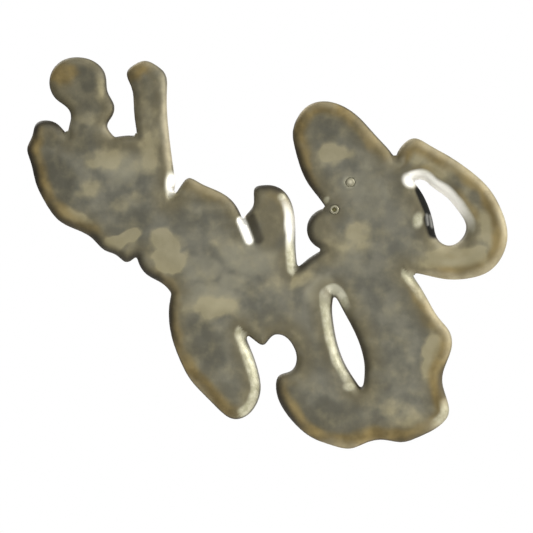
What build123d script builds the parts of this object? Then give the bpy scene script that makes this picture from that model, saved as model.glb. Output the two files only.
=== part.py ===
from build123d import *
import os

os.makedirs("parts", exist_ok=True)

# A pierced cap badge, upright as it is worn: +Z up, the front facing -Y, the flat back in the plane Y = 0.
# Outlines are drawn as they are seen from behind: x to the viewer's right, y up, in millimetres.

# Driving dimensions
PLATE_THICKNESS = 1.5
OPENING_ROUND = 1.0
MOUNT_ROUND = 0.3
VEIN_WIDTH = 0.35
VEIN_DEPTH = 0.25
NUB_CENTRE = (5.7, 2.1)
NUB_RADIUS = 1.95
BERRY_CENTRE = (5.5, 1.9)
BERRY_RADIUS = 1.15
BERRY_WALL = 0.45
BERRY_DOME = 0.6
RIVET_RADIUS = 0.42
RIVET_PAD_RADIUS = 0.72
RIVET_HEAD_RADIUS = 0.65
RIVET_HEAD_HEIGHT = 0.35
RIVET_HEAD_ROUND = 0.3
RIVET_BORE_RADIUS = 0.2
RIVET_BORE_DEPTH = 0.9
SOLID_RIVET_PLACE = (7.85, 6.45)
TUBULAR_RIVET_PLACE = (6.35, 3.9)

BACK = Plane(origin=(0, 0, 0), x_dir=(-1, 0, 0), z_dir=(0, 1, 0))
FRONT = BACK.offset(-PLATE_THICKNESS)

# The lobes of the silhouette: smooth closed outlines that overlap, and meet in sharp notches.
LOBES = {
    "bud_finial": [
        (-18.5, 12.2), (-18.85, 13.6), (-19.8, 14.3), (-20.45, 15.6), (-20.2, 17.0), (-19.2, 18.0),
        (-17.6, 18.27), (-16.0, 17.72), (-15.2, 16.6), (-15.0, 15.0), (-14.4, 13.8), (-14.6, 12.7),
        (-15.05, 11.9), (-14.7, 11.15), (-13.6, 9.6), (-16.0, 7.8), (-18.3, 9.6),
    ],
    "bar_finial": [
        (-12.25, 11.4), (-12.5, 13.5), (-12.75, 15.5), (-13.15, 16.85), (-12.4, 17.6), (-11.4, 17.92),
        (-10.4, 17.5), (-9.6, 16.75), (-9.42, 15.0), (-9.32, 12.0), (-9.05, 9.6), (-8.75, 7.4), (-8.8, 5.6),
        (-10.2, 4.4), (-12.4, 6.5), (-12.5, 9.0),
    ],
    "left_leaf": [
        (-20.9, 12.35), (-21.8, 11.9), (-22.1, 10.8), (-22.55, 9.8), (-22.25, 8.5), (-21.75, 6.5),
        (-20.9, 4.7), (-19.4, 2.8), (-17.5, 1.9), (-16.35, 1.2), (-15.2, 0.1), (-14.1, -0.35),
        (-13.2, -1.0), (-12.4, -0.55), (-9.5, 1.0), (-8.9, 4.6), (-9.6, 8.5), (-11.4, 10.6),
        (-13.6, 10.87), (-16.4, 10.3), (-18.2, 10.5), (-19.3, 11.6),
    ],
    "middle_leaf": [
        (-8.7, 5.3), (-8.05, 6.2), (-7.4, 6.9), (-6.3, 6.45), (-4.85, 5.8), (-3.4, 4.9), (-2.55, 3.65),
        (-2.05, 2.3), (-1.35, 0.7), (-0.9, -2.5), (-4.0, -5.6), (-8.0, -5.2), (-9.6, -3.15), (-11.4, -2.05),
        (-12.1, -0.9), (-12.3, 0.6), (-11.5, 3.0), (-10.0, 4.6),
    ],
    "foot_leaf": [
        (-9.0, -4.1), (-9.2, -6.2), (-8.85, -8.3), (-8.1, -10.3), (-7.1, -12.1), (-5.6, -13.7),
        (-4.3, -15.0), (-3.1, -15.7), (-2.0, -15.45), (-1.1, -14.5), (-0.6, -13.0), (-0.85, -11.1),
        (-1.38, -9.5), (-1.9, -8.2), (-2.3, -5.6), (-3.0, -2.8), (-5.8, -1.6), (-8.2, -2.2),
    ],
    "stem": [
        (-1.9, 1.2), (-2.35, 2.3), (-2.1, 3.25), (-1.3, 4.2), (-1.22, 5.3), (-1.1, 6.0), (-0.4, 6.22),
        (0.6, 6.18), (1.5, 5.75), (2.28, 4.6), (2.62, 3.0), (2.67, 1.0), (2.75, -0.6), (2.9, -2.2),
        (1.4, -4.4), (-1.0, -4.0), (-1.2, -1.4),
    ],
    "upper_leaf": [
        (5.65, 3.9), (4.9, 5.0), (3.9, 6.3), (3.1, 8.0), (2.6, 9.8), (2.42, 11.1), (2.85, 12.5),
        (3.85, 13.65), (5.3, 14.07), (6.95, 13.7), (8.65, 12.55), (10.25, 10.8), (11.6, 9.3), (12.6, 7.2),
        (12.6, 2.6), (10.6, -0.2), (7.8, 0.4), (6.6, 2.2),
    ],
    "ribbon_loop": [
        (12.1, 8.9), (12.75, 10.0), (13.7, 10.58), (15.2, 9.95), (17.05, 8.9), (19.0, 7.55), (20.8, 5.85),
        (22.0, 3.7), (22.5, 1.5), (22.05, -0.35), (20.8, -1.85), (19.0, -2.5), (17.0, -2.62),
        (15.2, -2.3), (13.6, -2.0), (11.2, -1.8), (10.2, 0.4), (10.4, 3.8), (11.0, 6.8),
    ],
    "lower_leaf": [
        (13.8, -2.45), (15.0, -4.4), (16.15, -6.3), (17.15, -7.6), (17.3, -8.9), (16.75, -10.5),
        (16.4, -12.1), (16.85, -13.8), (17.0, -15.2), (16.0, -16.4), (14.3, -17.3), (12.6, -17.83),
        (10.9, -17.6), (9.4, -17.85), (7.9, -18.42), (6.0, -18.1), (4.2, -17.4), (2.7, -16.2),
        (1.4, -14.5), (0.85, -12.7), (1.15, -11.6), (2.3, -11.15), (2.8, -10.1), (2.4, -8.7),
        (1.5, -7.85), (0.5, -7.9), (-0.3, -8.75), (-1.3, -8.2), (-3.2, -6.6), (-3.6, -3.6), (0.2, -2.4),
        (2.9, -1.5), (3.9, -0.65), (5.1, 0.1), (7.6, 1.3), (11.2, 0.3),
    ],
}

# The two openings, at their narrowest: a slit through the lower leaf, and the eye of the ribbon loop.
OPENINGS = {
    "slit": [
        (6.2, -4.25), (6.08, -5.1), (6.18, -6.6), (6.62, -8.8), (7.4, -10.75), (8.25, -12.1),
        (8.82, -12.75), (9.13, -11.6), (9.08, -10.2), (8.62, -8.5), (7.82, -6.75), (6.95, -5.15),
    ],
    "eye": [
        (13.7, 6.5), (14.3, 5.8), (15.0, 4.5), (15.6, 2.5), (16.1, 1.0), (17.0, 0.55), (18.1, 1.05),
        (18.65, 2.3), (17.9, 3.8), (16.8, 5.1), (15.3, 6.2), (14.2, 6.75),
    ],
}

# The struck mounts on the front: height above the plate, then outlines that leave a plain border.
MOUNT_HEIGHTS = {
    "bud_finial": 1.3,
    "bar_finial": 1.1,
    "left_leaf": 1.0,
    "middle_leaf": 1.1,
    "foot_leaf": 1.2,
    "stem": 1.0,
    "upper_leaf": 1.2,
    "ribbon_loop": 0.9,
    "lower_leaf": 1.0,
}
MOUNT_OUTLINES = {
    "bud_finial": [
        (-17.7, 17.6), (-16.4, 17.0), (-15.95, 15.6), (-15.4, 13.6), (-15.75, 12.0), (-16.6, 11.4),
        (-17.5, 12.0), (-17.8, 13.5), (-19.2, 14.7), (-19.65, 16.1), (-18.9, 17.3),
    ],
    "bar_finial": [
        (-12.0, 16.1), (-11.9, 16.9), (-11.2, 17.25), (-10.4, 16.8), (-10.15, 15.6), (-10.1, 12.5),
        (-9.85, 10.0), (-9.65, 8.4), (-10.4, 7.5), (-11.25, 8.4), (-11.6, 10.5), (-11.75, 13.4),
    ],
    "left_leaf": [
        (-20.9, 11.5), (-21.7, 9.9), (-21.4, 8.0), (-20.3, 5.3), (-18.8, 3.5), (-16.9, 2.8), (-15.4, 1.7),
        (-14.2, 0.6), (-13.0, 0.6), (-12.4, 3.4), (-12.2, 6.6), (-12.8, 9.3), (-14.6, 10.1),
        (-16.6, 10.5), (-18.4, 10.1), (-19.7, 10.9),
    ],
    "middle_leaf": [
        (-7.3, 6.1), (-6.0, 5.6), (-4.6, 4.9), (-3.5, 3.8), (-2.9, 2.2), (-2.6, 0.0), (-3.3, -2.1),
        (-5.0, -3.1), (-7.0, -3.0), (-8.9, -2.7), (-10.6, -1.9), (-11.5, -0.8), (-11.5, 0.9),
        (-10.6, 3.0), (-9.2, 4.5), (-8.2, 5.6),
    ],
    "foot_leaf": [
        (-5.6, -3.7), (-7.5, -4.0), (-8.4, -5.2), (-8.4, -7.2), (-7.8, -9.4), (-6.6, -11.5), (-5.0, -13.3),
        (-3.6, -14.7), (-2.3, -14.8), (-1.45, -13.5), (-1.6, -11.6), (-2.2, -9.4), (-2.8, -7.4),
        (-3.4, -5.0), (-4.2, -3.9),
    ],
    "stem": [
        (-0.4, 5.4), (0.5, 5.6), (1.35, 4.9), (1.85, 3.4), (1.95, 1.0), (2.0, -1.0), (1.6, -2.2),
        (0.6, -2.4), (-0.4, -1.8), (-0.9, 0.0), (-1.0, 2.0), (-0.8, 4.2),
    ],
    "upper_leaf": [
        (6.2, 4.2), (5.2, 5.7), (4.0, 7.6), (3.35, 9.8), (3.2, 11.2), (3.8, 12.6), (5.2, 13.4), (6.8, 13.1),
        (8.3, 12.1), (9.8, 10.4), (11.0, 8.7), (11.6, 7.0), (11.4, 4.8), (10.2, 3.0), (8.6, 2.4),
        (7.2, 3.0),
    ],
    "ribbon_loop": [
        (13.7, 9.8), (15.1, 9.3), (17.0, 8.3), (18.9, 7.0), (20.4, 5.4), (21.4, 3.5), (21.8, 1.5),
        (21.4, -0.2), (20.3, -1.3), (18.8, -1.85), (17.0, -1.95), (15.4, -1.8), (14.5, -1.6), (14.1, -0.9),
        (14.6, -0.3), (15.8, -0.1), (17.4, 0.0), (18.8, 0.7), (19.3, 2.3), (18.7, 4.1), (17.3, 5.7),
        (15.7, 6.8), (14.3, 7.4), (13.1, 7.9), (12.7, 8.9),
    ],
    "lower_leaf": [
        (12.9, -2.6), (14.2, -4.6), (15.4, -6.7), (16.3, -8.2), (16.0, -10.2), (15.6, -12.0), (16.0, -13.9),
        (15.9, -15.2), (14.6, -16.3), (12.6, -17.0), (10.8, -16.85), (9.2, -17.1), (7.8, -17.6),
        (6.0, -17.3), (4.4, -16.6), (3.0, -15.4), (1.9, -14.0), (1.9, -12.8), (3.0, -11.7), (3.6, -10.0),
        (3.1, -8.2), (1.8, -7.1), (0.2, -6.9), (-1.4, -6.9), (-2.1, -5.6), (-1.4, -4.0), (0.4, -3.2),
        (2.6, -2.9), (4.1, -1.6), (5.4, -0.3), (7.2, 0.9), (9.2, 1.5), (11.4, 1.5), (12.5, 0.4),
        (12.4, -1.2),
    ],
}

# The vein chased down the middle of each leaf.
VEINS = {
    "left_leaf": [(-13.9, 8.4), (-17.5, 8.0), (-19.4, 5.2)],
    "middle_leaf": [(-3.9, 2.6), (-6.6, 2.2), (-9.8, -0.8)],
    "foot_leaf": [(-5.6, -4.8), (-5.6, -9.0), (-3.0, -13.4)],
    "upper_leaf": [(9.6, 4.0), (8.4, 8.4), (5.2, 11.8)],
    "lower_leaf": [(10.6, -2.6), (12.8, -9.0), (12.4, -15.0)],
}


def smooth_face(points):
    """The face inside a smooth closed curve."""
    with BuildSketch() as face:
        with BuildLine():
            Spline(*points, periodic=True)
        make_face()
    return face.sketch


def vein_face(points):
    """A narrow groove's face along a curved centre line."""
    with BuildSketch() as face:
        with BuildLine():
            Spline(*points)
        trace(line_width=VEIN_WIDTH)
    return face.sketch


# The back plate: the union of the lobes, pierced by the two openings, whose back edges are rounded over.
with BuildPart() as back_plate:
    with BuildSketch(BACK):
        for points in LOBES.values():
            add(smooth_face(points))
        with Locations(NUB_CENTRE):
            Circle(NUB_RADIUS)
        for points in OPENINGS.values():
            add(smooth_face(points), mode=Mode.SUBTRACT)
        with Locations(SOLID_RIVET_PLACE, TUBULAR_RIVET_PLACE):
            Circle(RIVET_RADIUS, mode=Mode.SUBTRACT)
    extrude(amount=-PLATE_THICKNESS)
    back_face = back_plate.faces().sort_by(Axis.Y)[-1]
    opening_wires = back_face.inner_wires().sort_by(SortBy.LENGTH)[-len(OPENINGS):]
    fillet([wire.edge() for wire in opening_wires], OPENING_ROUND)
back_plate.part.label = "back_plate"
export_step(back_plate.part, "parts/back_plate.step")

# The mounts: flat on the plate, rounded on their front edge, with a chased vein on each leaf.
for mount_name, height in MOUNT_HEIGHTS.items():
    with BuildPart() as mount:
        with BuildSketch(FRONT):
            add(smooth_face(MOUNT_OUTLINES[mount_name]))
        extrude(amount=-height)
        fillet(mount.faces().sort_by(Axis.Y)[0].edges(), MOUNT_ROUND)
        if mount_name in VEINS:
            with BuildSketch(FRONT.offset(-height)):
                add(vein_face(VEINS[mount_name]))
            extrude(amount=VEIN_DEPTH, mode=Mode.SUBTRACT)
        if mount_name == "lower_leaf":
            with BuildSketch(FRONT):
                add(smooth_face(OPENINGS["slit"]))
            extrude(amount=-height, mode=Mode.SUBTRACT)
        if mount_name == "upper_leaf":
            with BuildSketch(FRONT):
                with Locations(TUBULAR_RIVET_PLACE):
                    Circle(RIVET_PAD_RADIUS)
            extrude(amount=-height)
            with BuildSketch(FRONT):
                with Locations(SOLID_RIVET_PLACE, TUBULAR_RIVET_PLACE):
                    Circle(RIVET_RADIUS)
            extrude(amount=-height, mode=Mode.SUBTRACT)
    mount.part.label = mount_name
    export_step(mount.part, f"parts/{mount_name}.step")

# The berry: a domed boss on a short round wall, soldered to the nub.
with BuildPart() as berry:
    with BuildSketch(FRONT):
        with Locations(BERRY_CENTRE):
            Circle(BERRY_RADIUS)
    extrude(amount=-BERRY_WALL - BERRY_DOME)
    fillet(berry.faces().sort_by(Axis.Y)[0].edges(), BERRY_DOME)
berry.part.label = "berry"
export_step(berry.part, "parts/berry.step")


def rivet_body(place):
    """One rivet: a shank flush with the back face, and a domed head on the front of the upper leaf."""
    seat = FRONT.offset(-MOUNT_HEIGHTS["upper_leaf"])
    with BuildPart() as rivet:
        with BuildSketch(BACK):
            with Locations(place):
                Circle(RIVET_RADIUS)
        extrude(amount=-PLATE_THICKNESS - MOUNT_HEIGHTS["upper_leaf"])
        with BuildSketch(seat):
            with Locations(place):
                Circle(RIVET_HEAD_RADIUS)
        extrude(amount=-RIVET_HEAD_HEIGHT)
        fillet(rivet.faces().sort_by(Axis.Y)[0].edges(), RIVET_HEAD_ROUND)
    return rivet.part


# The solid rivet, peened flush with the back.
with BuildPart() as solid_rivet:
    add(rivet_body(SOLID_RIVET_PLACE))
solid_rivet.part.label = "solid_rivet"
export_step(solid_rivet.part, "parts/solid_rivet.step")

# The tubular rivet, whose hollow end shows as a ring on the back.
with BuildPart() as tubular_rivet:
    add(rivet_body(TUBULAR_RIVET_PLACE))
    with BuildSketch(BACK):
        with Locations(TUBULAR_RIVET_PLACE):
            Circle(RIVET_BORE_RADIUS)
    extrude(amount=-RIVET_BORE_DEPTH, mode=Mode.SUBTRACT)
tubular_rivet.part.label = "tubular_rivet"
export_step(tubular_rivet.part, "parts/tubular_rivet.step")
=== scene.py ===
import math

import bmesh
import bpy
import numpy as np
from mathutils import Matrix, Vector, noise
from mathutils.kdtree import KDTree


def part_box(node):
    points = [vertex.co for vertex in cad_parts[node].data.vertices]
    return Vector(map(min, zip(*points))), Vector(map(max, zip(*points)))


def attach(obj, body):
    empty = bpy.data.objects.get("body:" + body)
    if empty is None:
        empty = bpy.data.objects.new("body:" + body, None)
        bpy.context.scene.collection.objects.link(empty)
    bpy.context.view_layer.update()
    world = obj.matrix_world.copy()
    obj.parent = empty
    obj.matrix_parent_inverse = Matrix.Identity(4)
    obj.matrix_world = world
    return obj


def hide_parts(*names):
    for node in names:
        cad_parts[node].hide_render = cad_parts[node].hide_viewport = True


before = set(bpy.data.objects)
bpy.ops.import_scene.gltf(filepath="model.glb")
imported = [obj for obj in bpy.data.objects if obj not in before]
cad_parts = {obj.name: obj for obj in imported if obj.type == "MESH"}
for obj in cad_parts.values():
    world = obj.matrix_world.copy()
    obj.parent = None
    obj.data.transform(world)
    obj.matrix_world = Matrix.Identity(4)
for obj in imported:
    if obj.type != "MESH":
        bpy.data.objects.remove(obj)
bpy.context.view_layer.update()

# Shapes are worked out in millimetres, as seen from behind: x to the viewer's right, y up, and depth from the
# flat back. In the row frame those are -X, +Z and -Y.
MM = 0.001
PLATE_DEPTH = -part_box("back_plate")[0].y / MM

LEVEL_TOLERANCE = 0.002
# Nearer the outline than this, the outline's own direction is surer than the direction to its nearest point.
TOO_CLOSE = 0.08

# --------------------------------------------------------------------------------------------------
# Mesh tools


def add_object(name, data):
    """Puts a new object into the scene."""
    new_object = bpy.data.objects.new(name, data)
    bpy.context.scene.collection.objects.link(new_object)
    return new_object


def millimetre_copy(node_name):
    """A new piece with a CAD node's shape, in millimetres."""
    piece = add_object(node_name + "_metal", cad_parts[node_name].data.copy())
    piece.data.transform(Matrix.Scale(1 / MM, 4))
    piece.data.materials.clear()
    return piece


def read_points(piece):
    """The points of a mesh in millimetres, as columns of x, y and depth."""
    co = np.empty(len(piece.data.vertices) * 3)
    piece.data.vertices.foreach_get("co", co)
    co = co.reshape(-1, 3)
    return np.column_stack((-co[:, 0], co[:, 2], -co[:, 1]))


def write_points(piece, points, unit):
    """Puts points back into a mesh, in the row frame's axes: unit is 1 for millimetres and MM for metres."""
    co = np.column_stack((-points[:, 0], -points[:, 2], points[:, 1])) * unit
    piece.data.vertices.foreach_set("co", co.ravel())
    piece.data.update()


def make_dense(piece, voxel, soften):
    """Turns a piece's mesh into an even, dense one, and gives its points."""
    remesh = piece.modifiers.new("even", "REMESH")
    remesh.mode = "VOXEL"
    remesh.voxel_size = voxel
    smooth = piece.modifiers.new("soften", "SMOOTH")
    smooth.factor = 0.5
    smooth.iterations = soften
    depsgraph = bpy.context.evaluated_depsgraph_get()
    dense = bpy.data.meshes.new_from_object(piece.evaluated_get(depsgraph))
    piece.modifiers.clear()
    piece.data = dense
    return read_points(piece)


def set_attribute(piece, name, values):
    """Stores one number per point for the material to read."""
    attribute = piece.data.attributes.new(name, "FLOAT", "POINT")
    attribute.data.foreach_set("value", np.asarray(values, np.float32))


def face_outline(node_name, depth, step, smallest_loop):
    """Points along the outline of a node's flat face at a depth, with the directions into the face. Loops
    shorter than smallest_loop are left out."""
    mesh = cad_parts[node_name].data
    mesh.calc_loop_triangles()
    co = np.array([v.co for v in mesh.vertices]) / MM
    flat = np.column_stack((-co[:, 0], co[:, 2]))
    keys, where = np.unique(np.round(flat, 3), axis=0, return_inverse=True)
    where = where.ravel()
    level = np.abs(-co[:, 1] - depth) < LEVEL_TOLERANCE
    edges = {}
    for triangle in mesh.loop_triangles:
        corners = list(triangle.vertices)
        if not all(level[c] for c in corners):
            continue
        a, b, c = (int(where[k]) for k in corners)
        for first, second, third in ((a, b, c), (b, c, a), (c, a, b)):
            key = (min(first, second), max(first, second))
            edges[key] = None if key in edges else third
    border = {key: third for key, third in edges.items() if third is not None}
    links = {}
    for key in border:
        for end in key:
            links.setdefault(end, []).append(key)
    spots, inward = [], []
    left = set(border)
    while left:
        loop, stack = [], [next(iter(left))]
        while stack:
            key = stack.pop()
            if key not in left:
                continue
            left.discard(key)
            loop.append(key)
            for end in key:
                stack.extend(other for other in links[end] if other in left)
        ends = [(keys[key[0]], keys[key[1]]) for key in loop]
        if sum(np.linalg.norm(q - p) for p, q in ends) < smallest_loop:
            continue
        for key, (p, q) in zip(loop, ends):
            along = q - p
            length = np.linalg.norm(along)
            if length < 1e-6:
                continue
            normal = np.array((-along[1], along[0])) / length
            if np.dot(keys[border[key]] - p, normal) < 0:
                normal = -normal
            count = max(1, int(math.ceil(length / step)))
            for k in range(count):
                spots.append(p + along * (k + 0.5) / count)
                inward.append(normal)
    return np.array(spots), np.array(inward)


def edge_distance(points, outline):
    """Each point's distance from the outline, the direction away from it, and the outline's own inward
    direction."""
    spots, inward = outline
    tree = KDTree(len(spots))
    for k, spot in enumerate(spots):
        tree.insert((spot[0], spot[1], 0), k)
    tree.balance()
    nearest = np.empty(len(points), int)
    for k, (x, y) in enumerate(points[:, :2]):
        nearest[k] = tree.find((x, y, 0))[1]
    away = points[:, :2] - spots[nearest]
    distance = np.linalg.norm(away, axis=1)
    facing = inward[nearest]
    close = distance < TOO_CLOSE
    away[~close] /= distance[~close, None]
    away[close] = facing[close]
    return distance, away, facing


def smoothstep(low, high, value):
    """0 below low, 1 above high, and a smooth rise between them."""
    t = np.clip((value - low) / (high - low), 0, 1)
    return t * t * (3 - 2 * t)


def ripple(points, scale, seed):
    """Smooth noise from about -1 to 1 at each point: scale is its wavelength in millimetres."""
    return np.array([noise.noise(Vector((x / scale, y / scale, seed))) for x, y in points[:, :2]])


def patch(points, spot):
    """1 in the middle of a soft tilted ellipse, and 0 outside it."""
    x, y, half_long, half_wide, tilt = spot
    turn = math.radians(tilt)
    dx, dy = points[:, 0] - x, points[:, 1] - y
    along = dx * math.cos(turn) + dy * math.sin(turn)
    across = -dx * math.sin(turn) + dy * math.cos(turn)
    return 1 - smoothstep(0.35, 1.0, np.hypot(along / half_long, across / half_wide))


def stroke(points, start, end):
    """Each point's distance from a straight stroke, and its place along it, 0 to 1."""
    start, along = np.array(start), np.array(end) - np.array(start)
    t = np.clip(((points[:, :2] - start) @ along) / (along @ along), 0, 1)
    return np.linalg.norm(points[:, :2] - start - t[:, None] * along, axis=1), t


def patches(points, spots):
    """The strongest of several soft patches at each point."""
    total = np.zeros(len(points))
    for *spot, strength in spots:
        total = np.maximum(total, strength * patch(points, spot))
    return total


def round_over(distance, radius, depth):
    """Rounds the square edge at one end of a wall: depth is measured from the face that the edge belongs to.
    It gives the new distance from the outline and the new depth."""
    a, b = radius - distance, radius - depth
    reach = np.hypot(a, b)
    corner = (a > 0) & (b > 0) & (reach > radius)
    factor = np.where(corner, radius / np.maximum(reach, 1e-9), 1)
    return np.where(corner, radius - a * factor, distance), np.where(corner, radius - b * factor, depth)


# --------------------------------------------------------------------------------------------------
# Materials


class Nodes:
    """Short names for making the nodes of one material."""

    def __init__(self, name):
        self.material = bpy.data.materials.new(name)
        self.material.use_nodes = True
        self.tree = self.material.node_tree
        self.shader = self.tree.nodes["Principled BSDF"]

    def link(self, value, socket):
        if isinstance(value, bpy.types.NodeSocket):
            self.tree.links.new(value, socket)
        else:
            socket.default_value = value

    def attribute(self, name):
        node = self.tree.nodes.new("ShaderNodeAttribute")
        node.attribute_name = name
        return node.outputs["Fac"]

    def place(self):
        return self.tree.nodes.new("ShaderNodeTexCoord").outputs["Object"]

    def noise(self, wavelength_mm, detail=4.0, roughness=0.55):
        node = self.tree.nodes.new("ShaderNodeTexNoise")
        self.link(self.place(), node.inputs["Vector"])
        node.inputs["Scale"].default_value = 1 / (wavelength_mm * MM)
        node.inputs["Detail"].default_value = detail
        node.inputs["Roughness"].default_value = roughness
        return node.outputs["Fac"]

    def cells(self, wavelength_mm):
        node = self.tree.nodes.new("ShaderNodeTexVoronoi")
        self.link(self.place(), node.inputs["Vector"])
        node.inputs["Scale"].default_value = 1 / (wavelength_mm * MM)
        return node.outputs["Distance"]

    def ramp(self, value, low, high):
        """0 below low, 1 above high."""
        node = self.tree.nodes.new("ShaderNodeMapRange")
        node.interpolation_type = "SMOOTHSTEP"
        self.link(value, node.inputs["Value"])
        node.inputs["From Min"].default_value = low
        node.inputs["From Max"].default_value = high
        return node.outputs["Result"]

    def math(self, operation, a, b):
        node = self.tree.nodes.new("ShaderNodeMath")
        node.operation = operation
        node.use_clamp = True
        self.link(a, node.inputs[0])
        self.link(b, node.inputs[1])
        return node.outputs["Value"]

    def mix(self, factor, a, b):
        node = self.tree.nodes.new("ShaderNodeMix")
        node.data_type = "RGBA"
        self.link(factor, node.inputs["Factor"])
        self.link(a, node.inputs["A"])
        self.link(b, node.inputs["B"])
        return node.outputs["Result"]

    def blend(self, factor, a, b):
        node = self.tree.nodes.new("ShaderNodeMix")
        node.data_type = "FLOAT"
        self.link(factor, node.inputs["Factor"])
        self.link(a, node.inputs["A"])
        self.link(b, node.inputs["B"])
        return node.outputs["Result"]

    def broken(self, name, wavelength_mm, low, high, least):
        """A mark on the mesh, thinned by noise to no less than a share of its strength."""
        thin = self.blend(self.ramp(self.noise(wavelength_mm, 3), low, high), least, 1.0)
        return self.math("MULTIPLY", self.attribute(name), thin)

    def cloud(self, name, noise, weight, low, high):
        """A mark on the mesh with its edge and middle made uneven by noise."""
        total = self.math("ADD", self.attribute(name), self.math("MULTIPLY", noise, weight))
        return self.ramp(total, low, high)

    def bump(self, height, distance_mm, strength):
        node = self.tree.nodes.new("ShaderNodeBump")
        node.inputs["Strength"].default_value = strength
        node.inputs["Distance"].default_value = distance_mm * MM
        self.link(height, node.inputs["Height"])
        self.link(node.outputs["Normal"], self.shader.inputs["Normal"])

    def surface(self, colour, roughness, metallic):
        self.link(colour, self.shader.inputs["Base Color"])
        self.link(roughness, self.shader.inputs["Roughness"])
        self.link(metallic, self.shader.inputs["Metallic"])
        return self.material


# Colours of the plate, as linear values: each pair is the darker and the lighter one of a mottle.
GREY = ((0.098, 0.096, 0.074, 1), (0.162, 0.156, 0.117, 1))
COOL_GREY = (0.122, 0.119, 0.095, 1)
LIGHT_GREY = (0.275, 0.262, 0.188, 1)
OLIVE = ((0.080, 0.068, 0.034, 1), (0.150, 0.130, 0.072, 1))
SHADE = (0.060, 0.057, 0.038, 1)
BUFF = ((0.34, 0.295, 0.15, 1), (0.47, 0.42, 0.26, 1))
GOLD = ((0.122, 0.089, 0.030, 1), (0.235, 0.174, 0.064, 1))
# PALE_RIM is a painted highlight along the rims that face the light, with some rubbed wear.
PALE_RIM = (0.40, 0.355, 0.235, 1)
# CREAM and NEAR_WHITE are painted highlight on the walls that face the light.
CREAM = ((0.33, 0.32, 0.215, 1), (0.50, 0.485, 0.36, 1))
NEAR_WHITE = (0.97, 0.96, 0.90, 1)
# DARK_RIM is painted shade on the rims that face away from the light.
DARK_RIM = (0.022, 0.018, 0.009, 1)
# BLACK is a painted shadow on the eye's left wall, and GLINT_GREY painted glints on it.
BLACK = (0.005, 0.005, 0.004, 1)
GLINT_GREY = (0.20, 0.20, 0.19, 1)
FRONT_GROUND = ((0.075, 0.055, 0.028, 1), (0.15, 0.115, 0.06, 1))
FRONT_EDGE = (0.48, 0.35, 0.16, 1)


def back_colour(n, mottle, fine, gold, cream, white, black):
    """Grey tarnish inside, olive and golden-brown at the rim, painted highlights on the rims and walls that face
    the light, and painted shade on those that face away.
    """
    grey = n.mix(n.ramp(mottle, 0.36, 0.64), *GREY)
    grey = n.mix(n.math("MULTIPLY", n.ramp(n.noise(4.5, 3, 0.5), 0.48, 0.66), 0.4), grey, COOL_GREY)
    grey = n.mix(n.cloud("light", n.noise(2.8, 2, 0.4), 0.5, 0.3, 1.35), grey, LIGHT_GREY)
    near_edge = n.ramp(n.attribute("edge"), 2.8, 0.7)
    olive = n.math("MULTIPLY", near_edge, n.blend(n.ramp(n.noise(2.6, 3), 0.28, 0.58), 0.45, 1.0))
    olive = n.math("MULTIPLY", n.math("MAXIMUM", olive, n.attribute("olive")), 0.9)
    colour = n.mix(olive, grey, n.mix(mottle, *OLIVE))
    shade = n.cloud("shade", n.noise(2.4, 2, 0.4), 0.4, 0.1, 1.2)
    colour = n.mix(n.math("MULTIPLY", shade, 0.85), colour, SHADE)
    buff = n.cloud("buff", n.noise(1.5, 3, 0.5), 1.1, 0.42, 1.62)
    colour = n.mix(buff, colour, n.mix(mottle, *BUFF))
    colour = n.mix(gold, colour, n.mix(n.ramp(mottle, 0.35, 0.65), *GOLD))
    # Pale rims: painted highlight, with some rubbed wear.
    colour = n.mix(n.broken("pale", 0.9, 0.3, 0.6, 0.65), colour, PALE_RIM)
    # Painted highlight on the walls that face the light: cream, and near white where it is brightest.
    wall = n.mix(n.ramp(n.noise(0.7, 4), 0.35, 0.65), *CREAM)
    colour = n.mix(cream, colour, n.mix(white, wall, NEAR_WHITE))
    # Painted shade and shadow on the rims that face away from the light.
    colour = n.mix(n.attribute("dark"), colour, DARK_RIM)
    # The painted shadow on the eye's left wall, with painted grey glints.
    glints = n.math("MULTIPLY", n.attribute("glint"), n.blend(fine, 0.6, 1.0))
    return n.mix(black, colour, n.mix(glints, BLACK, GLINT_GREY))


def front_colour(n, fine):
    """Darkened brass, rubbed bright along the edge."""
    ground = n.mix(n.ramp(n.noise(1.3, 4), 0.35, 0.65), *FRONT_GROUND)
    return n.mix(n.math("MULTIPLY", n.attribute("worn"), n.ramp(fine, 0.25, 0.55)), ground, FRONT_EDGE)


def tarnished_plate():
    """The plate's material: a tarnished back with painted highlights and painted shade at its edges and walls,
    and a front of darkened brass.
    """
    n = Nodes("tarnished_plate")
    mottle = n.noise(2.2, 3, 0.5)
    fine = n.noise(0.4, 5, 0.6)
    cream, white, black, front = (n.attribute(name) for name in ("cream", "white", "black", "front"))
    gold = n.broken("gold", 2.4, 0.28, 0.55, 0.65)
    colour = n.mix(front, back_colour(n, mottle, fine, gold, cream, white, black), front_colour(n, fine))
    roughness = n.blend(black, n.blend(cream, n.blend(fine, 0.58, 0.76), 0.46), 0.6)
    roughness = n.blend(front, roughness, n.blend(fine, 0.38, 0.55))
    # The walls with the painted highlight are made a little metallic.
    painted_highlight = n.math("MULTIPLY", n.math("MULTIPLY", cream, white), 0.3)
    metallic = n.blend(black, n.math("MAXIMUM", painted_highlight, n.blend(gold, 0.2, 0.35)), 0)
    metallic = n.blend(front, metallic, 0.85)
    n.link(n.blend(black, 0.5, 0.06), n.shader.inputs["Specular IOR Level"])
    grain = n.blend(0.5, n.noise(0.12, 3), fine)
    n.bump(n.blend(front, grain, n.cells(0.32)), 0.04, 0.3)
    return n.surface(colour, roughness, metallic)


BRASS = ((0.42, 0.29, 0.12, 1), (0.55, 0.41, 0.19, 1))
BRASS_TARNISH = ((0.10, 0.075, 0.04, 1), (0.17, 0.14, 0.085, 1))
BRASS_CREST = (0.78, 0.64, 0.38, 1)


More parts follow.
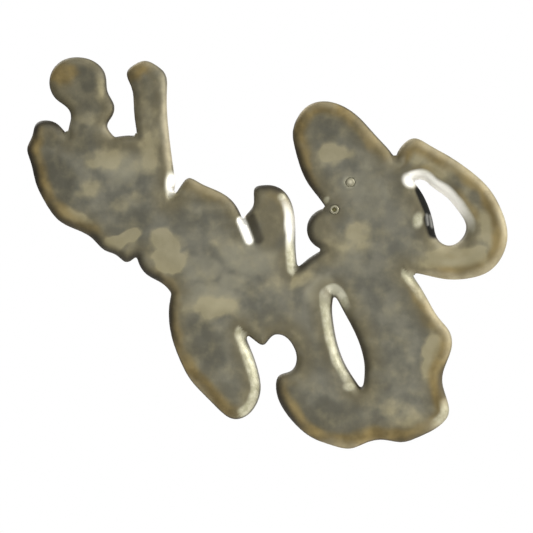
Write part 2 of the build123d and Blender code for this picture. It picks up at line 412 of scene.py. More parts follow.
def struck_brass():
    """Aged struck brass: darkened in the hollows, rubbed bright on the high places."""
    n = Nodes("struck_brass")
    high = n.attribute("high")
    mottle = n.noise(2.0, 4, 0.55)
    fine = n.noise(0.3, 5, 0.6)
    brass = n.mix(n.ramp(mottle, 0.35, 0.65), *BRASS)
    tarnish = n.mix(n.ramp(n.noise(1.1, 3), 0.35, 0.6), *BRASS_TARNISH)
    rubbed = n.math("MULTIPLY", n.ramp(high, 0.25, 0.8), n.blend(0.35, 1.0, n.ramp(mottle, 0.2, 0.6)))
    colour = n.mix(rubbed, tarnish, brass)
    colour = n.mix(n.math("MULTIPLY", n.ramp(high, 0.8, 1.0), 0.45), colour, BRASS_CREST)
    roughness = n.blend(rubbed, n.blend(fine, 0.55, 0.7), n.blend(fine, 0.27, 0.4))
    metallic = n.blend(rubbed, 0.55, 0.92)
    n.bump(n.blend(0.5, fine, n.noise(0.1, 3)), 0.03, 0.2)
    return n.surface(colour, roughness, metallic)


RIVET_TAIL = ((0.19, 0.18, 0.125, 1), (0.33, 0.31, 0.22, 1))
RIVET_HEAD = ((0.34, 0.25, 0.11, 1), (0.62, 0.48, 0.25, 1))
SOLID_TAIL_CENTRE = (0.54, 0.51, 0.38, 1)
BORE_CENTRE = (0.17, 0.155, 0.055, 1)


def rivet_metal(name, centre_colour):
    """Dull metal with a centre of its own colour on the back, and a brassy head on the front."""
    n = Nodes(name)
    fine = n.noise(0.25, 4, 0.6)
    colour = n.mix(n.attribute("middle"), n.mix(fine, *RIVET_TAIL), centre_colour)
    colour = n.mix(n.attribute("head"), colour, n.mix(fine, *RIVET_HEAD))
    n.bump(fine, 0.03, 0.3)
    return n.surface(colour, n.blend(fine, 0.38, 0.55), 0.4)


# --------------------------------------------------------------------------------------------------
# The back plate

PLATE_VOXEL = 0.15
OUTLINE_STEP = 0.05
# The rivet holes are shorter loops than this, and the slit and the eye are longer.
SMALLEST_OPENING = 4.0
EDGE_ROUND = 0.8
WALL_ROUND = 1.2
FRONT_ROUND = 0.25
# How far in from the outline each kind of mark reaches, wear and painted highlight and shade alike: full up to
# the first distance, gone by the second.
WALL_REACH = (0.72, 1.05)
GOLD_REACH = (0.85, 1.65)
PALE_REACH = (0.05, 1.0)
DARK_REACH = (0.12, 0.95)
LINE_REACH = (0.05, 0.2)

# Marks on the back are soft tilted ellipses: x, y, half length, half width, tilt in degrees, strength.

# Buff blotches on the flat.
BUFF_MARKS = [
    (-15.0, 8.8, 2.6, 1.5, 10, 0.50), (-16.4, 6.0, 1.4, 1.3, 0, 0.50), (-11.0, 9.2, 3.6, 1.4, 80, 0.42),
    (-9.4, 0.9, 2.0, 1.8, 0, 0.80), (-9.0, -0.9, 2.2, 1.6, 10, 1.00), (-5.2, -5.2, 3.0, 1.5, 5, 0.70),
    (-4.2, 1.0, 2.4, 1.0, -60, 0.12), (0.6, -3.2, 3.0, 1.0, 10, 0.25), (3.2, -2.6, 2.6, 0.9, 30, 0.40),
    (6.2, 9.1, 2.3, 1.6, 0, 0.80), (8.2, 1.2, 3.4, 1.9, 10, 0.42), (12.6, -15.2, 2.8, 1.4, -20, 0.35),
    (15.4, 8.0, 3.4, 1.3, -25, 0.45), (17.6, -0.7, 4.2, 1.6, 3, 1.00), (15.6, -9.6, 1.3, 2.8, -12, 1.00),
    (-18.0, 3.3, 2.0, 0.8, -28, 0.60), (-13.5, 1.1, 2.4, 0.9, 18, 1.00), (-14.3, -0.2, 1.2, 0.8, -50, 0.70),
    (-15.6, 15.4, 0.8, 1.8, 10, 0.35), (-11.3, 12.6, 1.0, 3.4, 0, 0.20), (20.6, 2.2, 1.4, 3.0, 15, 0.60),
    (-16.9, 12.6, 1.4, 0.9, 0, 0.30), (15.2, -3.4, 1.6, 0.9, -55, 0.3), (-13.2, 4.6, 2.6, 1.2, 20, 0.25),
]
# Broad lighter stretches of the flat.
LIGHT_MARKS = [
    (-2.0, -0.8, 3.6, 2.0, -20, 0.55), (-5.0, -4.2, 3.6, 2.2, 0, 0.65), (-3.0, -2.9, 2.2, 1.6, 0, 0.60),
    (5.2, -3.8, 2.6, 2.2, 60, 1.00), (9.6, 5.0, 2.8, 4.4, 0, 0.38), (-0.6, 0.2, 2.6, 2.2, 0, 0.55),
    (-13.8, 8.2, 2.6, 2.4, 0, 0.60), (-6.2, -1.8, 3.2, 2.0, 0, 0.50), (0.0, 3.4, 2.8, 1.6, 90, 0.45),
    (16.6, -0.4, 4.0, 2.0, 0, 0.50), (6.8, -0.2, 2.4, 1.8, 0, 0.45),
]
# Darker, cooler stretches of the flat.
SHADE_MARKS = [
    (-19.6, 6.6, 4.2, 2.4, 110, 0.90), (-12.8, 2.8, 3.2, 1.8, 10, 0.55), (-16.6, 16.4, 2.4, 1.9, 110, 0.90),
    (-18.4, 14.0, 2.0, 1.2, 0, 0.60), (-10.9, 15.2, 1.4, 1.2, 0, 0.45), (-20.4, 11.0, 1.8, 1.6, 20, 0.70),
    (-17.6, 10.6, 2.2, 2.2, 0, 0.60), (-16.2, 13.8, 1.6, 1.4, 0, 0.60), (6.2, 11.4, 3.2, 2.0, 15, 0.60),
    (-5.8, -8.6, 4.6, 2.4, 115, 0.65), (-3.4, -13.0, 1.8, 1.2, 0, 0.50), (5.2, -15.2, 5.2, 2.2, 5, 0.75),
    (2.6, -13.6, 2.2, 1.6, -60, 0.60), (10.0, -14.6, 3.2, 2.2, 20, 0.40), (11.2, -11.4, 3.6, 2.6, 60, 0.35),
    (4.0, -9.6, 3.6, 2.0, 100, 0.30), (11.8, -2.8, 2.6, 2.6, 0, 0.25), (8.6, 10.4, 2.0, 1.2, -50, 0.50),
    (-7.4, 3.0, 2.4, 1.6, 0, 0.50), (17.3, 6.3, 2.2, 1.2, -40, 0.60), (19.4, 4.8, 1.8, 1.0, -60, 0.50),
    (12.2, 5.4, 2.4, 1.3, 80, 0.45), (8.4, -16.2, 3.0, 1.6, 0, 0.50), (0.6, -6.6, 2.4, 1.6, 0, 0.30),
]
# Whole lobes that are olive.
OLIVE_MARKS = [
    (0.2, 3.0, 4.4, 2.0, 92, 0.9), (4.6, 2.0, 2.6, 2.6, 0, 0.9), (-17.4, 15.4, 4.4, 3.2, 110, 0.7),
    (-11.0, 13.0, 6.0, 2.4, 92, 0.6), (-20.8, 11.0, 2.6, 2.0, 0, 0.7), (18.6, 4.8, 6.6, 3.6, -50, 0.6),
]
# Golden-brown wear, only along the rim, and the patch on the ball, which is golden all over.
GOLD_MARKS = [
    (-21.4, 8.0, 5.4, 2.8, 105, 1.0), (-18.0, 3.2, 4.6, 2.6, -35, 0.8), (-12.4, 17.0, 2.2, 1.7, 0, 1.0),
    (-9.8, -7.0, 6.5, 2.6, 98, 0.9), (-6.0, -13.2, 6.0, 2.8, 128, 1.0), (4.5, 12.4, 5.6, 3.6, 15, 1.0),
    (3.0, 8.0, 5.0, 2.0, 105, 0.8), (9.8, 11.0, 4.4, 2.2, -50, 0.6), (14.5, 9.4, 4.2, 2.4, -25, 0.9),
    (20.5, 5.2, 6.4, 3.0, -55, 1.0), (22.2, 0.4, 4.4, 2.6, 90, 0.9), (18.4, -2.0, 4.4, 2.2, 0, 0.8),
    (15.2, -5.4, 4.6, 2.6, -60, 0.8), (16.4, -11.8, 7.0, 2.8, 92, 1.0), (8.5, -17.2, 9.5, 3.2, 0, 1.0),
    (2.0, -14.5, 5.0, 2.4, 125, 0.8), (-5.5, 5.6, 4.6, 1.6, -30, 0.4), (1.4, 4.6, 2.2, 1.6, -50, 0.4),
]
BALL_GOLD = (-19.3, 16.6, 2.2, 1.6, 5)
# Near-black rims: painted shade, mostly on the sides that face down and to the left, away from the light.
DARK_MARKS = [
    (-20.9, 11.9, 2.8, 2.0, 30, 1.0), (-22.2, 7.4, 5.0, 2.2, 100, 1.0), (-19.0, 3.0, 4.0, 2.2, -45, 0.85),
    (-15.0, 0.0, 4.4, 2.2, -35, 0.95), (-11.6, -1.8, 4.0, 2.6, -60, 1.0), (-9.4, -6.0, 4.6, 1.8, 95, 0.9),
    (-19.6, 13.4, 2.8, 1.8, 120, 0.5), (0.2, 6.3, 3.0, 1.5, -10, 0.95), (-1.6, 3.6, 3.2, 0.9, 80, 0.7),
    (4.2, 2.1, 3.0, 2.8, 90, 1.0), (3.4, 7.0, 6.0, 2.2, 112, 0.95), (1.4, -14.2, 5.4, 2.6, 118, 1.0),
    (16.6, -12.2, 2.4, 1.6, 90, 0.8), (9.0, -9.3, 5.2, 1.4, 108, 0.85), (3.9, -1.0, 2.8, 1.3, 35, 0.9),
    (0.4, -8.2, 2.6, 1.2, 10, 0.25), (-15.0, 16.0, 3.0, 1.0, 100, 0.35), (-12.6, 13.0, 4.0, 0.9, 92, 0.15),
    (13.4, -17.9, 4.0, 1.2, 10, 0.5), (4.6, -18.0, 3.0, 1.3, -25, 0.5), (2.6, -11.0, 2.2, 1.2, 80, 0.3),
]
# Pale rims, brightest at the very edge: a painted highlight along the rims that face the light, with some rubbed
# wear.
PALE_MARKS = [
    (14.5, 10.0, 4.4, 1.9, -25, 0.7), (19.8, 7.0, 5.8, 2.4, -45, 0.75), (22.4, 1.6, 5.0, 2.4, 90, 0.85),
    (20.4, -2.0, 4.0, 2.0, 30, 0.9), (16.4, -2.6, 4.0, 1.6, 0, 1.0), (4.4, 14.2, 5.0, 1.8, 10, 0.45),
    (9.8, 11.6, 4.2, 1.6, -48, 0.12), (-5.4, 6.2, 4.4, 1.6, -30, 0.4), (-9.3, 11.4, 7.0, 1.0, 92, 0.75),
    (-11.2, 17.9, 2.4, 1.2, -20, 0.4), (16.9, -8.2, 2.6, 1.8, 80, 0.55), (7.6, -18.4, 5.0, 1.3, 0, 0.5),
    (17.4, 0.6, 2.4, 1.4, 0, 0.6), (15.3, -4.7, 5.6, 1.5, -58, 0.7), (16.6, -15.4, 2.6, 1.6, 60, 0.7),
    (-6.4, -13.4, 3.6, 1.2, 130, 0.35), (-17.6, 18.2, 2.6, 1.0, 0, 0.2), (-14.5, 11.4, 1.4, 1.0, 40, 0.5),
    (-13.0, 14.4, 3.0, 0.8, 95, 0.3),
]
# Wide painted highlights on the walls, where the side of a gap faces right, towards the light.
WALL_MARKS = [
    (1.95, 1.0, 5.3, 1.7, 94, 1.0), (-1.7, -10.8, 6.2, 2.2, 100, 0.95), (-2.7, -15.0, 2.8, 1.7, 20, 0.95),
    (5.9, -7.8, 7.0, 1.9, 108, 0.85), (13.3, -1.9, 2.4, 1.8, -30, 0.75), (-8.8, 6.3, 1.7, 1.0, 90, 1.0),
    (16.7, -15.3, 2.0, 1.5, 60, 0.6), (14.2, -3.4, 1.8, 1.2, -55, 0.4),
]
# The head of the slit and the far wall of the eye get the painted highlight all the same, though they face the
# other way.
FAR_WALL_MARKS = [
    (6.5, -3.9, 2.2, 1.7, -50, 1.0), (16.2, 5.3, 5.8, 2.0, -43, 1.0), (13.6, 6.9, 2.0, 1.6, 0, 1.0),
]
# Where the painted highlight on the wall at the head of the slit is widest, and by how much.
SLIT_HEAD = (5.9, -4.1, 2.2, 1.9, 0)
SLIT_HEAD_EXTRA = 0.3
# Where the painted highlight is nearly white.
WHITE_MARKS = [
    (1.8, 2.8, 2.8, 1.5, 95, 0.85), (-2.0, 2.0, 2.0, 1.0, -65, 0.9), (-8.8, 6.3, 1.6, 1.0, 90, 1.0),
    (13.6, 6.9, 2.2, 1.6, 0, 1.0), (16.2, 5.2, 5.2, 2.0, -43, 1.0), (6.2, -3.7, 1.9, 1.5, 0, 0.15),
]
# Small cream spots: painted glints on the edges, and a pale ring round the solid rivet's tail.
CREAM_SPOTS = [
    (14.15, 2.9, 1.0, 0.65, 80, 1.0), (7.75, -12.6, 0.8, 0.6, 0, 0.7), (7.8, 6.45, 0.85, 0.75, 0, 0.5),
    (13.4, 6.6, 1.0, 0.85, -40, 1.0), (5.6, 4.8, 0.5, 0.35, 60, 0.7), (1.45, 5.1, 0.55, 0.5, 0, 0.7),
]
# Blisters below the loop, and how far they rise.
BLISTER_MARKS = [(13.7, -1.8, 2.0, 1.0, 0), (16.4, -2.6, 2.4, 0.7, 5)]
BLISTER_HEIGHT = 0.07
# A painted shadow on the left wall of the eye, wider below, as strokes with a half width, and the painted grey
# glints on it.
EYE_BLACK = [((14.3, 5.7), (15.3, 3.4), 0.58), ((15.35, 3.0), (15.7, 1.9), 0.92)]
EYE_GLINTS = [((14.98, 3.4), (15.08, 2.5)), ((15.28, 3.3), (15.45, 2.3))]
# The crevice between the middle leaf and the stem: a painted highlight on its left side and painted shade on its
# right.
CREVICE = ((-2.0, 3.3), (-1.15, 0.9))
CREVICE_DEPTH = 0.55
CREVICE_HALF_WIDTH = 0.75
PAINTED_HIGHLIGHT_SIDE = ((-2.36, 2.9), (-1.62, 1.05))
DARK_SIDE = ((-1.45, 3.1), (-0.75, 1.2))
# The ripples' seeds, one for each use, so that no two line up.
SEEDS = {"radius": 3.1, "waves": 7.7, "pits": 1.3, "blisters": 2.2, "reach": 15.0, "gold": 16.0, "wear": 5.5}
WANDER_SEEDS = ((11.0, 12.0), (13.0, 14.0))


def rim(distance, inner, outer):
    """1 at the outline, falling to 0 between two distances from it."""
    return 1 - smoothstep(inner, outer, distance)


def painted_highlight_walls(points, facing):
    """How strong the painted highlight is on the wall near each point, by the way it faces the light."""
    facing_right = smoothstep(-0.05, 0.45, -facing[:, 0] - 0.15 * facing[:, 1])
    facing_down = smoothstep(-0.05, 0.35, 0.6 * facing[:, 0] + 0.8 * facing[:, 1])
    near_wall = patches(points, WALL_MARKS) * facing_right
    return np.maximum(near_wall, patches(points, FAR_WALL_MARKS) * facing_down)


def shape_back_plate(points, distance, away, wall):
    """Wears the plate's edges round and its back uneven, and gives the points' new distances from the outline."""
    radius = EDGE_ROUND + (WALL_ROUND - EDGE_ROUND) * wall
    radius = radius * (1 + 0.1 * ripple(points, 1.8, SEEDS["radius"]))
    new_distance, depth = round_over(distance, radius, points[:, 2])
    new_distance, front_gap = round_over(new_distance, FRONT_ROUND, PLATE_DEPTH - depth)
    points[:, :2] += away * (new_distance - distance)[:, None]
    points[:, 2] = PLATE_DEPTH - front_gap
    back = 1 - smoothstep(0.6, 1.3, points[:, 2])
    waves = 0.05 * ripple(points, 4.5, SEEDS["waves"]) + 0.012 * ripple(points, 0.9, SEEDS["pits"])
    points[:, 2] += back * (0.035 + waves)
    gap, along = stroke(points, *CREVICE)
    crevice = np.clip(1 - gap / CREVICE_HALF_WIDTH, 0, 1) ** 1.3 * (1 - 0.5 * along)
    points[:, 2] += back * CREVICE_DEPTH * crevice
    blisters = sum(patch(points, mark) for mark in BLISTER_MARKS)
    blisters = blisters * np.clip(ripple(points, 0.5, SEEDS["blisters"]) * 2, 0, 1)
    points[:, 2] -= back * BLISTER_HEIGHT * blisters
    return new_distance


def wandered(points):
    """The points moved about a little, so that no mark that is placed by them has a clean edge."""
    loose = points.copy()
    for axis, (wide, narrow) in enumerate(WANDER_SEEDS):
        loose[:, axis] += 0.55 * ripple(points, 1.9, wide) + 0.25 * ripple(points, 0.7, narrow)
    return loose


def eye_wall_marks(points):
    """The painted shadow on the eye's left wall, and the painted glints on it."""
    black, glints = np.zeros(len(points)), np.zeros(len(points))
    for start, end, half_width in EYE_BLACK:
        black = np.maximum(black, 1 - smoothstep(0.55, 1, stroke(points, start, end)[0] / half_width))
    for start, end in EYE_GLINTS:
        glints = np.maximum(glints, 1 - smoothstep(0.02, 0.2, stroke(points, start, end)[0]))
    return black, glints


def plate_marks(points, distance, wall):
    """The strength of every mark at each point, for the plate's material."""
    loose = wandered(points)
    reach = distance + 0.12 * ripple(points, 1.1, SEEDS["reach"])
    gold_reach = distance + 0.45 * ripple(points, 1.7, SEEDS["gold"])
    # The crevice's left side gets painted highlight, and its right side painted shade.
    painted_highlight = 1 - smoothstep(0.28, 0.58, stroke(points, *PAINTED_HIGHLIGHT_SIDE)[0])
    in_shadow = 1 - smoothstep(0.3, 0.75, stroke(points, *DARK_SIDE)[0])
    eye_black, glints = eye_wall_marks(points)
    # Pale rims: painted highlight on the edges that face the light, with some rubbed wear.
    pale_zone = patches(loose, PALE_MARKS)
    wall_reach = reach - SLIT_HEAD_EXTRA * patch(points, SLIT_HEAD)
    # Cream and white: painted highlight on the walls, spots and crevice side that face the light.
    cream = np.maximum(wall * rim(wall_reach, *WALL_REACH), patches(points, CREAM_SPOTS))
    cream = np.maximum(cream, painted_highlight)
    white = np.maximum(patches(points, WHITE_MARKS), painted_highlight)
    # A thin painted shadow line right at the outline, left off where the rim has painted highlight.
    line = rim(distance, *LINE_REACH) * (1 - pale_zone) * (1 - white) * 0.85
    # Dark: painted shade on the rims that face away from the light, and on the crevice's right side.
    dark = np.maximum(patches(loose, DARK_MARKS) * rim(reach, *DARK_REACH) * (1 - cream), line)
    dark = np.maximum(dark, 0.75 * in_shadow * (1 - painted_highlight))
    gold = np.maximum(patches(loose, GOLD_MARKS) * rim(gold_reach, *GOLD_REACH), patch(loose, BALL_GOLD))
    return {
        "edge": distance,
        "buff": patches(loose, BUFF_MARKS),
        "light": patches(loose, LIGHT_MARKS),
        "shade": patches(loose, SHADE_MARKS) * (1 - rim(distance, 0.5, 1.3)),
        "olive": patches(loose, OLIVE_MARKS),
        "gold": gold,
        "pale": pale_zone * rim(reach, *PALE_REACH) * (1 - cream),
        "cream": cream,
        "white": white,
        "dark": np.clip(dark, 0, 1),
        "black": eye_black,
        "glint": glints,
        "front": smoothstep(0.95, 1.2, points[:, 2]),
        "worn": rim(distance, 0.1, 0.5),
    }


def make_back_plate(material):
    """The pierced plate, with its square back edges worn round, and along them marks of wear, painted highlights
    and painted shade.
    """
    piece = millimetre_copy("back_plate")
    points = make_dense(piece, PLATE_VOXEL, 3)
    outline = face_outline("back_plate", PLATE_DEPTH, OUTLINE_STEP, SMALLEST_OPENING)
    distance, away, facing = edge_distance(points, outline)
    wall = painted_highlight_walls(points, facing)
    distance = shape_back_plate(points, distance, away, wall)
    write_points(piece, points, MM)
    piece.data.shade_smooth()
    for name, values in plate_marks(points, distance, wall).items():
        set_attribute(piece, name, values)
    piece.data.materials.append(material)
    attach(piece, "root")
    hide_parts("back_plate")


# --------------------------------------------------------------------------------------------------
# The struck mounts on the front


def vein_frame(points, line):
    """For a curved line through three points: each point's place along it in millimetres, its distance to either
    side, and the line's length."""
    start, middle, end = (np.array(p) for p in line)
    length = np.linalg.norm(end - start)
    ahead = (end - start) / length
    left = np.array((-ahead[1], ahead[0]))
    place = (middle - start) @ ahead / length
    bow = (middle - start) @ left / (place * (1 - place))
    along = (points[:, :2] - start) @ ahead
    t = np.clip(along / length, 0, 1)
    return along, (points[:, :2] - start) @ left - bow * t * (1 - t), length


def groove(value, half_width):
    """1 at the middle of a groove, and 0 at its edges."""
    return np.clip(1 - np.abs(value) / half_width, 0, 1) ** 1.5


def leaf_relief(points, distance, line, ribs, lean):
    """A leaf: a beaded border, a deep vein down its middle, and ribs swept forward from it on both sides."""
    along, side, length = vein_frame(points, line)
    lobes = 0.5 + 0.5 * np.cos(2 * np.pi * (along - np.abs(side) * lean) / length * ribs)
    inner = smoothstep(0.1, 0.6, np.abs(side)) * smoothstep(0.6, 0.8, distance)
    bead = 0.10 * np.exp(-((distance - 0.32) / 0.16) ** 2) - 0.16 * groove(distance - 0.62, 0.16)
    return bead - 0.30 * groove(side, 0.34) * smoothstep(0.5, 0.8, distance) - 0.22 * lobes * inner


def reeded_relief(points, line, reeds, half_width, collars):
    """A reeded stem: grooves along it, with round collars across it."""
    along, side, length = vein_frame(points, line)
    flutes = 0.5 - 0.5 * np.cos(2 * np.pi * (side / (2 * half_width) * reeds + 0.5))
    relief = -0.20 * flutes
    for place in collars:
        gap = np.abs(along - place * length)
        relief = np.where(gap < 0.42, 0.1 * np.sqrt(np.clip(1 - (gap / 0.42) ** 2, 0, 1)), relief)
        relief = relief - 0.16 * groove(gap - 0.52, 0.14)
    return relief


def rope_relief(points, distance, centre):
    """A ribbon with a raised, corded middle between two plain borders."""
    angle = np.arctan2(points[:, 1] - centre[1], points[:, 0] - centre[0])
    cords = 0.5 + 0.5 * np.cos(angle * 42 + distance * 3.5)
    inner = smoothstep(0.42, 0.6, distance)
    return -0.14 * groove(distance - 0.42, 0.16) - 0.16 * cords * inner


def grain_relief(points, centre, spacing):
    """Round grains packed like a berry's."""
    dx, dy = (points[:, 0] - centre[0]) / spacing, (points[:, 1] - centre[1]) / (spacing * 0.866)
    row = np.round(dy)
    across = dx - 0.5 * (row % 2)
    off = np.hypot(across - np.round(across), (dy - row) * 0.866)
    return -0.22 * smoothstep(0.2, 0.6, off)


# Where the lines of the mounts run: each vein or stem is a curve through three points.
VEINS = {
    "left_leaf": ((-13.9, 8.4), (-17.5, 8.0), (-19.4, 5.2)),
    "middle_leaf": ((-3.9, 2.6), (-6.6, 2.2), (-9.8, -0.8)),
    "foot_leaf": ((-5.6, -4.8), (-5.6, -9.0), (-3.0, -13.4)),
    "upper_leaf": ((9.6, 4.0), (8.4, 8.4), (5.2, 11.8)),
    "lower_leaf": ((10.6, -2.6), (12.8, -9.0), (12.4, -15.0)),
}
STEM_LINE = ((0.6, -2.0), (0.9, 1.6), (0.3, 5.2))
BAR_LINE = ((-10.0, 7.8), (-10.8, 12.0), (-11.2, 17.0))
BUD_LINE = ((-16.6, 11.4), (-16.7, 13.4), (-17.7, 17.4))
EYE_MIDDLE = (16.6, 2.8)
BERRY_MIDDLE = (5.5, 1.9)
BERRY_GRAIN = 0.62
ARM_LINE = ((2.6, -0.6), (0.9, -3.6), (-1.4, -6.4))
RIVET_PLACES = ((7.85, 6.45), (6.35, 3.9))
MOUNT_VOXEL = 0.1


def two_leaf_relief(points, distance):
    """The lower leaf, with a smaller leaf overlapping it at the upper left."""
    main = leaf_relief(points, distance, VEINS["lower_leaf"], 9, 0.8)
    across = points[:, 0] * 0.80 + points[:, 1] * 0.60
    border = across - 0.5 - 0.5 * np.sin(points[:, 1] * 0.9)
    arm = leaf_relief(points, np.minimum(distance, np.abs(border)), ARM_LINE, 5, 0.9)
    return np.where(border < 0, arm, main) - 0.34 * groove(border - 0.1, 0.3)


MOUNT_RELIEFS = {
    "left_leaf": lambda p, d: leaf_relief(p, d, VEINS["left_leaf"], 6, 1.0),
    "middle_leaf": lambda p, d: leaf_relief(p, d, VEINS["middle_leaf"], 6, 1.0),
    "foot_leaf": lambda p, d: leaf_relief(p, d, VEINS["foot_leaf"], 7, 1.1),
    "upper_leaf": lambda p, d: leaf_relief(p, d, VEINS["upper_leaf"], 7, 1.1),
    "lower_leaf": two_leaf_relief,
    "stem": lambda p, d: reeded_relief(p, STEM_LINE, 3, 1.4, (0.12, 0.86)),
    "bar_finial": lambda p, d: reeded_relief(p, BAR_LINE, 2, 0.9, (0.12, 0.8)),
    "bud_finial": lambda p, d: reeded_relief(p, BUD_LINE, 5, 2.0, (0.25,)),
    "ribbon_loop": lambda p, d: rope_relief(p, d, EYE_MIDDLE),
    "berry": lambda p, d: grain_relief(p, BERRY_MIDDLE, BERRY_GRAIN),
}


def make_mount(name, material):
    """One struck mount: a domed shape with its own relief on the front."""
    piece = millimetre_copy(name)
    rough = read_points(piece)
    outline = face_outline(name, PLATE_DEPTH, 0.04, 0.5)
    top = -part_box(name)[0].y / MM
    height = top - PLATE_DEPTH
    in_from_edge = edge_distance(rough, outline)[0] > 0.4
    rough[in_from_edge & (rough[:, 2] > PLATE_DEPTH + height / 2), 2] = top
    write_points(piece, rough, 1)
    points = make_dense(piece, MOUNT_VOXEL, 2)
    distance = edge_distance(points, outline)[0]
    risen = smoothstep(0.25, 0.95, (points[:, 2] - PLATE_DEPTH) / height)
    dome = -0.42 * height * (1 - np.clip(distance / distance.max(), 0, 1)) ** 2.2
    relief = MOUNT_RELIEFS[name](points, distance)
    for place in RIVET_PLACES:
        off = np.hypot(points[:, 0] - place[0], points[:, 1] - place[1])
        clear = smoothstep(0.75, 1.05, off)
        relief, dome = relief * clear, dome * clear
        relief = relief - 0.1 * groove(off - 0.95, 0.15)
    wear = 0.03 * ripple(points, 1.2, SEEDS["wear"])
    points[:, 2] += risen * (dome + relief + wear)
    write_points(piece, points, MM)
    piece.data.shade_smooth()
    high = (0.78 + (relief + wear) * 3.2 + dome * 0.15) * risen
    set_attribute(piece, "high", np.clip(high, 0, 1))
    piece.data.materials.append(material)
    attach(piece, "root")
    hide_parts(name)


# --------------------------------------------------------------------------------------------------
# The rivets


SHANK_RADIUS = 0.43
HEAD_HEIGHT = 0.35
BORE_RADIUS = 0.19
RIVET_TURNS = 48


def make_rivet(name, profile, middle_radius, material):
    """A turned rivet: the profile's points are radius and depth from the back face, from tail to head."""
    low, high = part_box(name)
    centre = (low + high) / 2
    mesh = bmesh.new()
    rings = []
    for radius, depth in profile:
        if radius == 0:
            rings.append([mesh.verts.new((centre.x, -depth * MM, centre.z))])
            continue
        ring = []
        for k in range(RIVET_TURNS):
            angle = 2 * math.pi * k / RIVET_TURNS
            across, up = radius * MM * math.cos(angle), radius * MM * math.sin(angle)
            ring.append(mesh.verts.new((centre.x + across, -depth * MM, centre.z + up)))
        rings.append(ring)
    for below, above in zip(rings, rings[1:]):
        for k in range(RIVET_TURNS):
            corners = [below[k % len(below)], below[(k + 1) % len(below)]]
            corners += [above[(k + 1) % len(above)], above[k % len(above)]]
            mesh.faces.new(list(dict.fromkeys(corners)))
    bmesh.ops.recalc_face_normals(mesh, faces=mesh.faces)
    data = bpy.data.meshes.new(name + "_turned")
    mesh.to_mesh(data)
    mesh.free()
    piece = add_object(name + "_turned", data)
    data.shade_smooth()
    reach = [math.hypot(v.co.x - centre.x, v.co.z - centre.z) / MM for v in data.vertices]
    behind = [-v.co.y / MM < PLATE_DEPTH for v in data.vertices]
    middle = 1 - smoothstep(middle_radius * 0.7, middle_radius * 1.2, np.array(reach))
    set_attribute(piece, "middle", middle * np.array(behind))
    set_attribute(piece, "head", 1 - np.array(behind))
    data.materials.append(material)
    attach(piece, "root")
    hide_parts(name)


def head_profile(radius, seat, height):
    """The domed head of a rivet, from its seat to its crown."""
    points = [(radius, seat), (radius, seat + height * 0.25)]
    for k in range(1, 7):
        angle = math.pi / 2 * k / 6
        points.append((radius * math.cos(angle), seat + height * (0.25 + 0.75 * math.sin(angle))))
    points[-1] = (0, seat + height)
    return points


def make_rivets():
    """The solid rivet and the tubular one, whose hollow end is the ring on the back."""
    shank, bore = SHANK_RADIUS, BORE_RADIUS
    low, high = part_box("solid_rivet")
    head_radius = (high.x - low.x) / MM / 2
    seat = -low.y / MM - HEAD_HEIGHT
    head = head_profile(head_radius, seat, HEAD_HEIGHT)
    solid = [(0, -0.02), (shank * 0.6, -0.01), (shank * 0.9, 0.03), (shank, 0.10), (shank, seat)]
    make_rivet("solid_rivet", solid + head, 0.01, rivet_metal("solid_rivet_metal", SOLID_TAIL_CENTRE))
    tubular = [(0, 0.24), (bore * 0.8, 0.22), (bore, 0.08), (bore * 1.25, 0.0), (shank * 0.7, -0.03)]
    tubular += [(shank * 0.95, 0.02), (shank, 0.1), (shank, seat)]
    make_rivet("tubular_rivet", tubular + head, bore, rivet_metal("tubular_rivet_metal", BORE_CENTRE))


# --------------------------------------------------------------------------------------------------
# The stage: a plain pale floor, soft lights and the camera behind the badge

FLOOR_DROP = 0.030
FLOOR_RADIUS = 0.06
GLOW_STRENGTH = 0.35
CAMERA_AZIMUTH = 183.0
CAMERA_ELEVATION = -0.5
CAMERA_DISTANCE = 0.32
VIEW_WIDTH = 0.04992
CAMERA_AIM = Vector((0.00003, -0.0008, -0.0014))


def direction(azimuth, elevation):
    """The unit vector towards a place round the badge: azimuth 0 is in front of it, and 180 behind it."""
    a, e = math.radians(azimuth), math.radians(elevation)
    return Vector((math.sin(a) * math.cos(e), -math.cos(a) * math.cos(e), math.sin(e)))


def make_floor():
    """A plain pale disc under the badge."""
    mesh = bmesh.new()
    bmesh.ops.create_circle(mesh, cap_ends=True, radius=FLOOR_RADIUS, segments=96)
    bmesh.ops.translate(mesh, verts=mesh.verts, vec=(0, 0, -FLOOR_DROP))
    data = bpy.data.meshes.new("floor")
    mesh.to_mesh(data)
    mesh.free()
    floor = add_object("floor", data)
    n = Nodes("pale_floor")
    data.materials.append(n.surface((0.8, 0.79, 0.77, 1), 0.8, 0.0))


def make_light(name, azimuth, elevation, distance, size, power, colour):
    """A soft square light that points at the badge."""
    lamp = bpy.data.lights.new(name, "AREA")
    lamp.size = size
    lamp.energy = power
    lamp.color = colour
    light = add_object(name, lamp)
    towards = direction(azimuth, elevation)
    light.location = towards * distance
    light.rotation_euler = towards.to_track_quat("Z", "Y").to_euler()


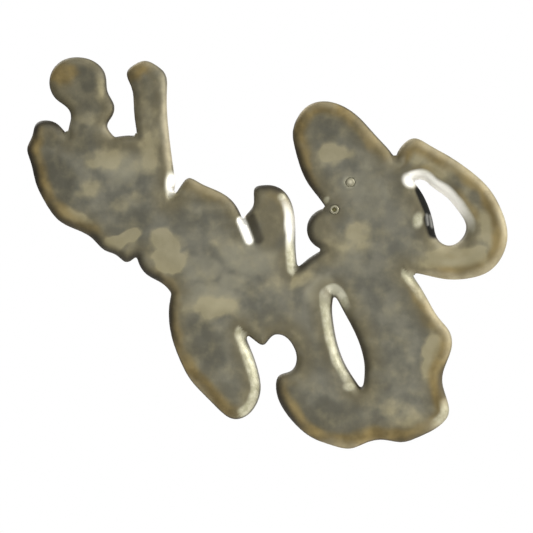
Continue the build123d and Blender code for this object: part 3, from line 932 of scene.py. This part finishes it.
def make_world():
    """White behind the badge, and a dim even glow on it."""
    world = bpy.data.worlds.new("studio")
    bpy.context.scene.world = world
    world.use_nodes = True
    tree = world.node_tree
    glow = tree.nodes["Background"]
    glow.inputs["Color"].default_value = (1, 1, 1, 1)
    glow.inputs["Strength"].default_value = GLOW_STRENGTH
    backdrop = tree.nodes.new("ShaderNodeBackground")
    backdrop.inputs["Color"].default_value = (1, 1, 1, 1)
    backdrop.inputs["Strength"].default_value = 1.0
    path = tree.nodes.new("ShaderNodeLightPath")
    mix = tree.nodes.new("ShaderNodeMixShader")
    tree.links.new(path.outputs["Is Camera Ray"], mix.inputs["Fac"])
    tree.links.new(glow.outputs["Background"], mix.inputs[1])
    tree.links.new(backdrop.outputs["Background"], mix.inputs[2])
    tree.links.new(mix.outputs["Shader"], tree.nodes["World Output"].inputs["Surface"])


def make_camera():
    """The camera that looks at the flat back, a little from the viewer's right."""
    data = bpy.data.cameras.new("camera")
    data.lens = data.sensor_width / 2 / (VIEW_WIDTH / 2 / CAMERA_DISTANCE)
    data.clip_start, data.clip_end = 0.01, 10
    camera = add_object("camera", data)
    towards = direction(CAMERA_AZIMUTH, CAMERA_ELEVATION)
    camera.location = CAMERA_AIM + towards * CAMERA_DISTANCE
    camera.rotation_euler = towards.to_track_quat("Z", "Y").to_euler()
    bpy.context.scene.camera = camera


# Name, azimuth, elevation, distance, size, power and colour.
LIGHTS = [
    ("key", 255, 22, 0.35, 0.16, 1.6, (1.0, 0.98, 0.93)),
    ("back_fill", 175, 25, 0.5, 0.5, 1.3, (1.0, 0.99, 0.97)),
    ("front_key", 40, 40, 0.4, 0.2, 1.6, (1.0, 0.98, 0.94)),
    ("front_fill", -50, 15, 0.5, 0.4, 1.0, (0.96, 0.98, 1.0)),
]

make_camera()
make_floor()
make_world()
for light_values in LIGHTS:
    make_light(*light_values)
bpy.context.scene.view_settings.view_transform = "Standard"

make_back_plate(tarnished_plate())
struck = struck_brass()
for mount_name in MOUNT_RELIEFS:
    make_mount(mount_name, struck)
make_rivets()
